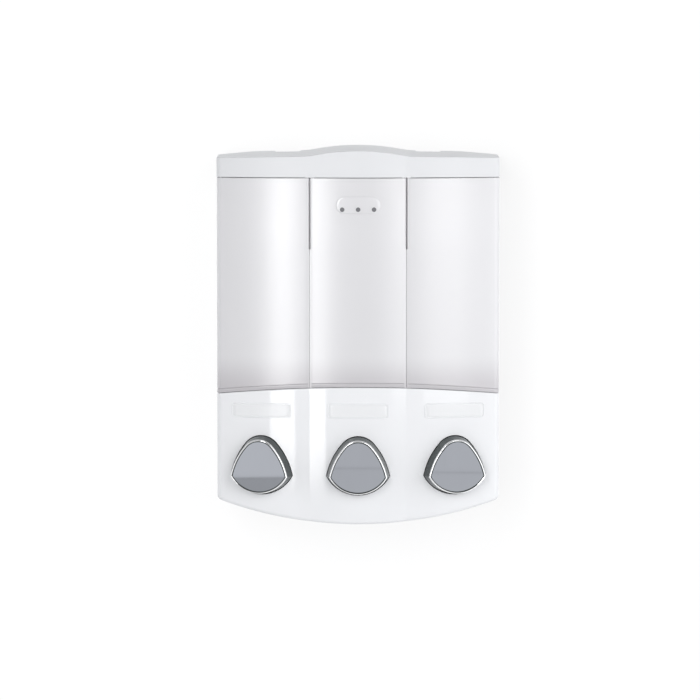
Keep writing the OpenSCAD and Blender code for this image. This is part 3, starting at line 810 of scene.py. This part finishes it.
def tank_loop(side, inset):
    """Loop of a tank seen from above, drawn in by inset, and the count of its front points."""
    x0, x1, r0, r1 = {
        -1: (-HALF_W, -CREASE_X - TANK_GAP, CORNER_R, GAP_EDGE_R),
        0: (-CREASE_X + TANK_GAP, CREASE_X - TANK_GAP, GAP_EDGE_R, GAP_EDGE_R),
        1: (CREASE_X + TANK_GAP, HALF_W, GAP_EDGE_R, CORNER_R),
    }[side]
    front = lobe_points(side, x0, x1, r0, r1, inset)
    back = -TANK_BACK - inset
    (left_x, left_y), (right_x, right_y) = front[0], front[-1]
    left = [(left_x, back + (left_y - back) * k / TANK_ROWS) for k in range(TANK_ROWS)]
    right = [(right_x, right_y + (back - right_y) * k / TANK_ROWS) for k in range(1, TANK_ROWS + 1)]
    rear = [(x, back) for x, _ in reversed(front[1:-1])]
    return left + front + right + rear, len(front)


def tank_sheet(bm, ring, columns, height):
    """Fills a tank loop with quads at the height function."""
    grid = sheet_grid(ring, columns, TANK_ROWS)
    for i in range(1, columns - 1):
        grid[i][TANK_ROWS] = ring[-i]
        (x, y0, _), y1 = grid[i][0].co, ring[-i].co.y
        for j in range(1, TANK_ROWS):
            grid[i][j] = bm.verts.new((x, y0 + (y1 - y0) * j / TANK_ROWS, height(x)))
    grid_faces(bm, grid)


def tank_levels():
    """Insets and height functions of a tank's skin: up outside, over the rim and down inside."""
    inside = lambda x: seam_z(x) + FLOOR_T
    above = lambda height, rise: (lambda x: height(x) + rise)
    flat = lambda z: (lambda x: z)
    half_height = 20.0
    bead = SEAM_BEAD
    foot = [(0.35, seam_z), (0.1, above(seam_z, 0.08)), (0.0, above(seam_z, 0.3))]
    groove = [(0.0, above(inside, -bead)), (bead * 1.6, inside), (0.0, above(inside, bead))]
    wall = [(0.0, flat(half_height)), (0.0, flat(LAP_TOP)), (0.0, flat(TANK_TOP - 0.3))]
    rim = [
        (0.08, flat(TANK_TOP - 0.08)), (0.3, flat(TANK_TOP)), (RIM_T - 0.2, flat(TANK_TOP)),
        (RIM_T, flat(TANK_TOP - 0.2)), (RIM_T, flat(TANK_TOP - RIM_H)),
        (TANK_T, flat(TANK_TOP - RIM_H - 0.9)),
    ]
    inner = [
        (TANK_T, flat(half_height)), (TANK_T, above(inside, 1.2)), (TANK_T + 0.35, above(inside, 0.35)),
        (TANK_T + 1.2, inside),
    ]
    return foot + groove + wall + rim + inner


def make_tank(name, side):
    """Tank: one closed skin of walls and floor, with its ribs and its neck."""
    levels = tank_levels()
    bm = bmesh.new()
    rings = []
    for inset, height in levels:
        loop, columns = tank_loop(side, inset)
        rings.append([bm.verts.new((x, y, height(x))) for x, y in loop])
    for low, high in zip(rings, rings[1:]):
        bridge(bm, low, high)
    tank_sheet(bm, rings[0], columns, levels[0][1])
    tank_sheet(bm, rings[-1], columns, levels[-1][1])
    parts = [new_object("tank_walls", bm, [TANK], 50)]
    for valley in ((-1, 1) if side == 0 else (side,)):
        parts.append(lap_rib(side, valley))
    bore = NECK_R - NECK_T
    neck = lathe([(0, NECK_R), (0, bore), (NECK_L, bore), (NECK_L, NECK_R)],
                 port_line(side, CUP_TOP - NECK_REACH), Vector((0, 0, 1)))
    parts.append(new_object("neck", neck, [TANK]))
    tank = join(name + "_fine", parts)
    finish_piece(tank, "housing", "frosted_plastic", name)


def lap_rib(side, valley):
    """Rib in a gap beside a tank, recessed above LAP_TOP; valley is -1 for the left gap."""
    away = -1 if side == 0 else 1
    outer = CREASE_X + away * LAP_GAP
    inner = CREASE_X + away * (TANK_GAP + LAP_BITE)
    cx, cy = lobe_centre(abs(side))
    deep = CREASE_Y + LAP_DEPTH
    bm = bmesh.new()
    rings = []
    front = [cy - math.sqrt(LOBE_R**2 - (x - cx) ** 2) + 0.02 for x in (outer, inner)]
    recessed = [y + SLIT_D for y in front]
    foot = SEAM_Z - RIB_DROP
    for z, near in ((foot, front), (LAP_TOP, front), (LAP_TOP + 0.05, recessed), (TANK_TOP, recessed)):
        plan = [(outer, near[0]), (inner, near[1]), (inner, deep), (outer, deep)]
        rings.append([bm.verts.new((valley * x, y, z)) for x, y in plan])
    for low, high in zip(rings, rings[1:]):
        bridge(bm, low, high)
    bm.faces.new(rings[0])
    bm.faces.new(rings[-1])
    return new_object("rib", bm, [TANK])


def lid_edge_z(_x, y):
    """Lower edge of the lid's walls: level at the front, rising in a wedge behind the hinge."""
    if y <= -HINGE_Y + 0.01:
        return LID_Z
    return HINGE_Z + (y + HINGE_Y) * math.tan(LIP_ANGLE)


def lid_skin_z(x, y, drop):
    """Top of the lid lowered by drop, with the lip that turns about the hinge."""
    z = lid_top_z(x, y) - drop
    if y > -HINGE_Y:
        z = min(z, HINGE_Z + math.sqrt(max(0.0, (LIP_R - drop) ** 2 - (y + HINGE_Y) ** 2)))
    return max(z, lid_edge_z(x, y))


def lid_rows(drop):
    """Depths from the front to the end of the lip, where its top meets the wedge."""
    def rows(x, front):
        low, high = -HINGE_Y + 0.5, -HINGE_Y + (LIP_R - drop) * math.cos(LIP_ANGLE)
        if lid_top_z(x, high) - drop < lid_edge_z(x, high):
            for _ in range(30):
                middle = (low + high) / 2
                if lid_top_z(x, middle) - drop < lid_edge_z(x, middle):
                    high = middle
                else:
                    low = middle
        hinge = -HINGE_Y
        flat = [front + (hinge - front) * j / 10 for j in range(11)]
        lip = [hinge + (high - hinge) * math.sin(math.pi / 2 * j / 9) for j in range(1, 10)]
        return flat + [hinge + 0.02] + lip
    return rows


def make_lid():
    """Lid: crowned shell with a wave in the middle, a lip at the hinge and two knuckles."""
    def levels(drop, fillet):
        result = [(drop, lid_edge_z)]
        for k in range(7):
            a = k / 6 * math.pi / 2
            down = fillet * (1 - math.sin(a))
            result.append((
                drop + fillet * (1 - math.cos(a)),
                lambda x, y, d=down: max(lid_skin_z(x, y, drop) - d, lid_edge_z(x, y)),
            ))
        return result

    outer = (levels(0.0, 0.5), lambda x, y: lid_skin_z(x, y, 0.0), None)
    inner = (levels(LID_T, 0.3), lambda x, y: lid_skin_z(x, y, LID_T), None)
    lid = double_skin("lid_shell", unit_outline, (lid_rows(0.0), lid_rows(LID_T)), outer, inner, SATIN)
    parts = [lid]
    for x in (-HINGE_X, HINGE_X):
        cut(lid, box_mesh((x - NOTCH_HALF, NOTCH_Y, LID_Z - 2), (x + NOTCH_HALF, 5, 140)))
        parts.append(knuckle(x))
    lid = join("lid_fine", parts)
    even_shading(lid)
    finish_piece(lid, "lid", "white_plastic", "lid")


def knuckle(x):
    """Hinge barrel under the lid with a flat web up to its skin."""
    bore = PIN_R + PIN_GAP
    bm = bmesh.new()
    ends = []
    for px in (x - KNUCKLE_W / 2, x + KNUCKLE_W / 2):
        ring, hole = [], []
        for k in range(KNUCKLE_STEPS):
            a = 2 * math.pi * k / KNUCKLE_STEPS
            y, z = KNUCKLE_R * math.cos(a), KNUCKLE_R * math.sin(a)
            if z > 0:
                y = -KNUCKLE_R + KNUCKLE_WEB * (math.cos(a) + 1) / 2
                z = KNUCKLE_TOP
            ring.append(bm.verts.new((px, -HINGE_Y + y, HINGE_Z + z)))
            hole.append(bm.verts.new((px, -HINGE_Y + bore * math.cos(a), HINGE_Z + bore * math.sin(a))))
        ends.append((ring, hole))
    (ring_a, hole_a), (ring_b, hole_b) = ends
    loop = (hole_a, ring_a, ring_b, hole_b, hole_a)
    for low, high in zip(loop, loop[1:]):
        bridge(bm, low, high)
    return new_object("knuckle", bm, [SATIN])


@functools.lru_cache(maxsize=None)
def button_ring(inset):
    """Points of the button outline drawn in by inset, one for each of its own points.

    Where a tip's radius runs out, its points gather in one crisp corner.
    """
    outer = even_outline(chain_outline(BUTTON_CHAIN, 0.0, math.radians(1.5)), OUTLINE_STEPS)
    tree = KDTree(OUTLINE_STEPS)
    for k, (x, z) in enumerate(outer):
        tree.insert((x, z, 0.0), k)
    tree.balance()
    ring = []
    for k, (x, z) in enumerate(outer):
        ax, az = outer[k - 1]
        bx, bz = outer[(k + 1) % OUTLINE_STEPS]
        length = math.hypot(bx - ax, bz - az)
        point = (x - (bz - az) / length * inset, z + (bx - ax) / length * inset)
        clear = tree.find((*point, 0.0))[2] > inset - 0.02
        ring.append(point if clear else None)
    k = 0
    while k < OUTLINE_STEPS:
        if ring[k] is None:
            end = k
            while ring[end] is None:
                end += 1
            a, b = ring[k - 1], ring[end]
            ring[k:end] = [((a[0] + b[0]) / 2, (a[1] + b[1]) / 2)] * (end - k)
            k = end
        k += 1
    return ring


def button_skin(profile, place, marks=(0,), tilt=0.0):
    """Skin through (inset, height) of the button outline, closed by a face that leans by tilt.

    marks gives a material index per step of the profile, and the last one is the face's.
    """
    bm = bmesh.new()
    rings = []

    def lowered(inset, height):
        drop = BUTTON_DROP * max(0.0, height) / BUTTON_OUT
        return [(a, z - drop) for a, z in button_ring(inset)]

    for inset, height in profile[:-1]:
        rings.append([bm.verts.new(place(a, z, height)) for a, z in lowered(inset, height)])
    height = profile[-1][1]
    face = lowered(*profile[-1])
    centre_z = sum(z for _, z in face) / len(face)
    for s in (1.0, 0.8, 0.6, 0.4, 0.2):
        ring = []
        for a, z in face:
            rise = (z - centre_z) * s
            ring.append(bm.verts.new(place(a * s, centre_z + rise, height + rise * tilt)))
        rings.append(ring)
    middle = bm.verts.new(place(0, centre_z, height))
    for i, (low, high) in enumerate(zip(rings, rings[1:])):
        bridge(bm, low, high, marks[min(i, len(marks) - 1)])
    fan(bm, rings[-1], middle, marks[-1])
    return bm


def make_button(name, side):
    """Chrome button: tapering flank and fine groove in a darker chrome as painted shade, rounded rim in a
    near-white chrome as painted highlight, and flat mirror face.
    """
    out = BUTTON_OUT
    flank = [(2.0, -BUTTON_IN), (0.0, -BUTTON_IN), (0.0, -0.1), (0.1, 0.5), (1.5, out - 1.15)]
    lip = [(1.53, out - 0.85), (1.6, out - 0.5), (1.74, out - 0.22), (1.95, out - 0.05), (2.15, out)]
    groove = [(2.32, out - 0.1), (2.4, out - 0.85), (3.0, out - 0.85), (3.02, out - 0.35)]
    profile = flank + lip + groove
    # Material 0 is the face chrome, 1 the darker chrome as painted shade on flank and groove, 2 the
    # near-white chrome as painted highlight on the rim.
    marks = [1] * (len(flank) - 1) + [2] * (len(lip) + 1) + [1] * 3 + [0]
    place = straight_place(side)
    cap = button_skin(profile, place, marks, math.tan(FACE_TILT))
    lining = button_skin([(2.0, -BUTTON_IN), (2.0, 0.0), (4.2, out - 2.4)], place)
    boss = lathe([(2.0 - out, 3.4), (4.0, 3.6), (4.0, 6.0), (2.0 - out, 6.0)],
                 button_origin(side) + Vector((0, 0, BUTTON_Z)), button_axis(side))
    parts = [
        new_object(name + "_cap", cap, [CHROME, SHADED_CHROME, HIGHLIGHT_CHROME], 40),
        new_object("lining", lining, [SHADED_CHROME]),
        new_object("boss", boss, [PUMP]),
    ]
    whole = join(name + "_fine", parts)
    finish_piece(whole, name, "chrome", name)


def make_spring(name, side):
    """Helical return spring with closed ends."""
    u0, u1 = SPRING_U0 + WIRE_R + SPRING_GAP, SPRING_U1 - WIRE_R - SPRING_GAP
    origin, inward = button_origin(side) + Vector((0, 0, BUTTON_Z)), button_axis(side)
    across = Vector((inward.y, -inward.x, 0.0))
    up = Vector((0, 0, 1))
    bm = bmesh.new()
    rings = []
    n = COIL_STEPS * TURNS
    for i in range(n + 1):
        t = i / n
        start = min(t / END_SHARE, 1.0)
        middle = min(max((t - END_SHARE) / (1 - 2 * END_SHARE), 0.0), 1.0)
        finish = max(0.0, (t - 1 + END_SHARE) / END_SHARE)
        along = u0 + END_RISE * (start + finish) + (u1 - u0 - 2 * END_RISE) * middle
        a = 2 * math.pi * i / COIL_STEPS
        radial = across * math.cos(a) + up * math.sin(a)
        ring = []
        for k in range(WIRE_SIDES):
            b = 2 * math.pi * k / WIRE_SIDES
            out = radial * (COIL_R + WIRE_R * math.cos(b))
            ring.append(bm.verts.new(origin + inward * (along + WIRE_R * math.sin(b)) + out))
        rings.append(ring)
    for low, high in zip(rings, rings[1:]):
        bridge(bm, low, high)
    bm.faces.new(rings[0])
    bm.faces.new(rings[-1][::-1])
    spring = new_object(name + "_coil", bm, [STEEL], 60)
    finish_piece(spring, "housing", "steel", name)
    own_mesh(spring)


def make_label(name, side):
    """Blank label plate in its frame above a button."""
    profile = [(0.15, -0.35), (0.15, 0.02), (0.3, 0.12)]
    place = curved_place(side, side * BUTTON_PITCH, LABEL_Z)
    plate = loft(rounded_box_chain(LABEL_W, LABEL_H, LABEL_R), profile, place)
    obj = new_object(name + "_fine", plate, [LABEL], 40)
    finish_piece(obj, "housing", "label", name)


def make_badge():
    """Small raised lozenge with three dots on the middle tank."""
    reach = (BADGE_W - BADGE_H) / 2
    chain = [(reach, 0, BADGE_H / 2), (-reach, 0, BADGE_H / 2)]
    profile = [(0, -0.04), (0, 0.3), (0.12, 0.46), (0.4, 0.55)]
    badge = new_object("badge_fine", loft(chain, profile, curved_place(0, 0, BADGE_Z)), [TANK], 40)
    finish_piece(badge, "housing", "label", "badge")
    circle = [(0.01, 0, DOT_R), (-0.01, 0, DOT_R)]
    profile = [(0, 0.5), (0, 0.7), (0.2, 0.82)]
    dots = []
    for k in (-1, 0, 1):
        dot = loft(circle, profile, curved_place(0, k * DOT_STEP, BADGE_Z - DOT_DROP), 40)
        dots.append(new_object("dot", dot, [DARK], 40))
    finish_piece(join("badge_dots_fine", dots), "housing", "dark_trim", "badge_dots")


def dress_cad_nodes():
    """Procedural materials on the CAD nodes that stay."""
    slots = {s["node"]: s["material_slot"] for s in frame["record"]["subparts"]}
    for name, obj in frame["nodes"].items():
        if obj.hide_render:
            continue
        look = BY_SLOT[slots[name]]
        if not obj.material_slots:
            obj.data.materials.append(look)
        for slot in obj.material_slots:
            slot.link = "OBJECT"
            slot.material = look


# ---- stage ----

# Brightness of the surroundings, and where each change along an axis starts and ends.
WORLD_FRONT, WORLD_SIDE, WORLD_LOWEST = 0.74, 1.24, 0.05
WORLD_FAR_LEFT, FAR_LEFT_X = -0.28, (-0.9, -0.45)
WORLD_NEAR_LEFT, NEAR_LEFT_X = 0.09, (-0.35, -0.2)
WORLD_RIGHT, RIGHT_X, RIGHT_Y = 1.35, (0.42, 0.9), (-0.4, 0.0)
WORLD_TOP, TOP_Z = -0.88, (0.1, 0.9)
WORLD_TINT = (0.975, 0.985, 1.0)

# Far table edge mirrored in the buttons: its angle, and the shares of light lost below it and in its line.
HORIZON, HORIZON_LEFT_DROP, HORIZON_EASE = math.radians(-8.525), 0.0015, 0.0002
BELOW_LOSS, BELOW_LEFT_LOSS, BELOW_X = 0.02, 0.36, (-0.3, -0.2)
LINE_W, LINE_LOSS = 0.00035, 0.22

# Camera in millimetres, with the width of its picture at the aim.
CAMERA_AIM, CAMERA_EYE, FRAME_W = (-5.4, -60.0, -11.0), (-5.4, -2600.0, 200.0), 471.6

# Soft lights: angle right of straight ahead, width in degrees, brightness and lower end in metres.
SOFTBOX_LEFT = {"azimuth": -18.0, "spread": 10.0, "radiance": 5.0, "base": -0.355}
SOFTBOX_RIGHT = {"azimuth": 23.5, "spread": 19.0, "radiance": 2.1, "base": -0.25}
WALL_LIGHT = {"azimuth": -17.0, "spread": 32.0, "radiance": 4.2, "base": -0.8}
SOFTBOX_FAR, SOFTBOX_TOP = 2.2, 1.6
WALL_WHITE, WALL_GLOW, WALL_SIZE, WALL_Y = 0.12, 0.81, 4000.0, 1.0
FLOOR_SIZE, FLOOR_Z = 6.0, -1.2


def make_wall():
    """White wall behind the unit, seen only from the front."""
    bm = bmesh.new()
    size, y = WALL_SIZE, WALL_Y
    corners = [(-size, y, -size), (size, y, -size), (size, y, size), (-size, y, size)]
    bm.faces.new([bm.verts.new(c) for c in corners])
    m, tree, shader = material("wall_white", (WALL_WHITE,) * 3, roughness=0.9)
    settle(shader, {"Emission Color": (1, 1, 1, 1), "Emission Strength": WALL_GLOW})
    clear, facing, mix = (
        tree.nodes.new("ShaderNode" + kind) for kind in ("BsdfTransparent", "NewGeometry", "MixShader")
    )
    tree.links.new(facing.outputs["Backfacing"], mix.inputs["Fac"])
    tree.links.new(shader.outputs["BSDF"], mix.inputs[1])
    tree.links.new(clear.outputs["BSDF"], mix.inputs[2])
    tree.links.new(mix.outputs["Shader"], tree.nodes["Material Output"].inputs["Surface"])
    bmesh.ops.scale(bm, vec=(MM, MM, MM), verts=bm.verts)
    wall = from_bmesh("wall", bm, [m])
    if wall.data.polygons[0].normal.y > 0:
        wall.data.flip_normals()
    wall.visible_diffuse = wall.visible_glossy = wall.visible_shadow = False
    return wall


def make_floor():
    """Plain pale floor well below the unit."""
    bm = bmesh.new()
    bmesh.ops.create_grid(bm, x_segments=1, y_segments=1, size=FLOOR_SIZE)
    floor = from_bmesh("floor", bm, [material("floor_pale", (0.85, 0.85, 0.86), roughness=0.7)[0]])
    floor.location = (0, 0, FLOOR_Z)
    floor.visible_glossy = False


def softbox(name, azimuth, spread, radiance, base):
    """Upright soft light facing the unit."""
    a = math.radians(azimuth)
    width = 2 * SOFTBOX_FAR * math.tan(math.radians(spread) / 2)
    height = SOFTBOX_TOP - base
    data = bpy.data.lights.new(name, "AREA")
    data.shape = "RECTANGLE"
    data.size, data.size_y = width, height
    data.energy = radiance * math.pi * width * height
    lamp = in_scene(name, data)
    inward = Vector((-math.sin(a), math.cos(a), 0.0))
    lamp.location = -SOFTBOX_FAR * inward + Vector((0.0, 0.0, (SOFTBOX_TOP + base) / 2))
    lamp.rotation_euler = inward.to_track_quat("-Z", "Y").to_euler()
    return lamp


def light_only(lamp, target):
    """The lamp lights the target alone; everything still casts its shadow there."""
    lit = bpy.data.collections.new(lamp.name + "_target")
    lit.objects.link(target)
    lamp.light_linking.receiver_collection = lit


def dimmed(tree, tone, share, loss):
    """Tone less the loss where share is 1."""
    kept = combine(tree, "SUBTRACT", 1.0, combine(tree, "MULTIPLY", share, loss))
    return combine(tree, "MULTIPLY", tone, kept)


def make_world():
    """Studio surroundings: grey in front, lighter at the sides, darker above and below a table edge."""
    world = bpy.data.worlds.new("studio")
    bpy.context.scene.world = world
    world.use_nodes = True
    tree = world.node_tree
    back = tree.nodes["Background"]
    where = tree.nodes.new("ShaderNodeTexCoord")
    split = tree.nodes.new("ShaderNodeSeparateXYZ")
    tree.links.new(where.outputs["Generated"], split.inputs["Vector"])
    x, y, z = split.outputs
    tone = remap(tree, y, -1.0, 0.0, WORLD_FRONT, WORLD_SIDE)
    far_left = remap(tree, x, *FAR_LEFT_X, WORLD_FAR_LEFT, 0.0)
    near_left = remap(tree, x, *NEAR_LEFT_X, WORLD_NEAR_LEFT, 0.0)
    ahead = remap(tree, y, *RIGHT_Y, 1.0, 0.0)
    right = combine(tree, "MULTIPLY", ahead, remap(tree, x, *RIGHT_X, 0.0, WORLD_RIGHT))
    for change in (far_left, near_left, right, remap(tree, z, *TOP_Z, 0.0, WORLD_TOP)):
        tone = combine(tree, "ADD", tone, change)
    tone = combine(tree, "MAXIMUM", tone, WORLD_LOWEST)
    edge = math.sin(HORIZON)
    line_end = edge - LINE_W
    level = combine(tree, "ADD", z, remap(tree, x, *BELOW_X, HORIZON_LEFT_DROP, 0.0))
    below = remap(tree, level, edge - HORIZON_EASE, edge, 1.0, 0.0)
    tone = dimmed(tree, tone, below, remap(tree, x, *BELOW_X, BELOW_LEFT_LOSS, BELOW_LOSS))
    line = combine(tree, "MULTIPLY", below, remap(tree, level, line_end - HORIZON_EASE, line_end, 0.0, 1.0))
    tone = dimmed(tree, tone, line, LINE_LOSS)
    joined = tree.nodes.new("ShaderNodeCombineColor")
    for k, tint in enumerate(WORLD_TINT):
        tree.links.new(combine(tree, "MULTIPLY", tone, tint), joined.inputs[k])
    tree.links.new(joined.outputs["Color"], back.inputs["Color"])
    back.inputs["Strength"].default_value = 1.0


def make_camera():
    """Long lens a little above the unit, as in the photograph."""
    aim, eye, frame_width = Vector(CAMERA_AIM) * MM, Vector(CAMERA_EYE) * MM, FRAME_W * MM
    data = bpy.data.cameras.new("camera")
    data.sensor_width = 36
    data.lens = data.sensor_width * (aim - eye).length / frame_width
    data.clip_end = 50
    camera = in_scene("camera", data)
    camera.location = eye
    camera.rotation_euler = (aim - eye).to_track_quat("-Z", "Y").to_euler()
    bpy.context.scene.camera = camera


make_camera()
make_world()
backdrop = make_wall()
make_floor()
softbox("softbox_left", **SOFTBOX_LEFT)
softbox("softbox_right", **SOFTBOX_RIGHT)
light_only(softbox("wall_light", **WALL_LIGHT), backdrop)

make_housing()
make_lid()
for label, side in SIDES.items():
    make_tank("tank_" + label, side)
    make_button("button_" + label, side)
    make_spring("return_spring_" + label, side)
    make_label("label_plate_" + label, side)
make_badge()
dress_cad_nodes()

bpy.context.scene.view_settings.view_transform = "Standard"
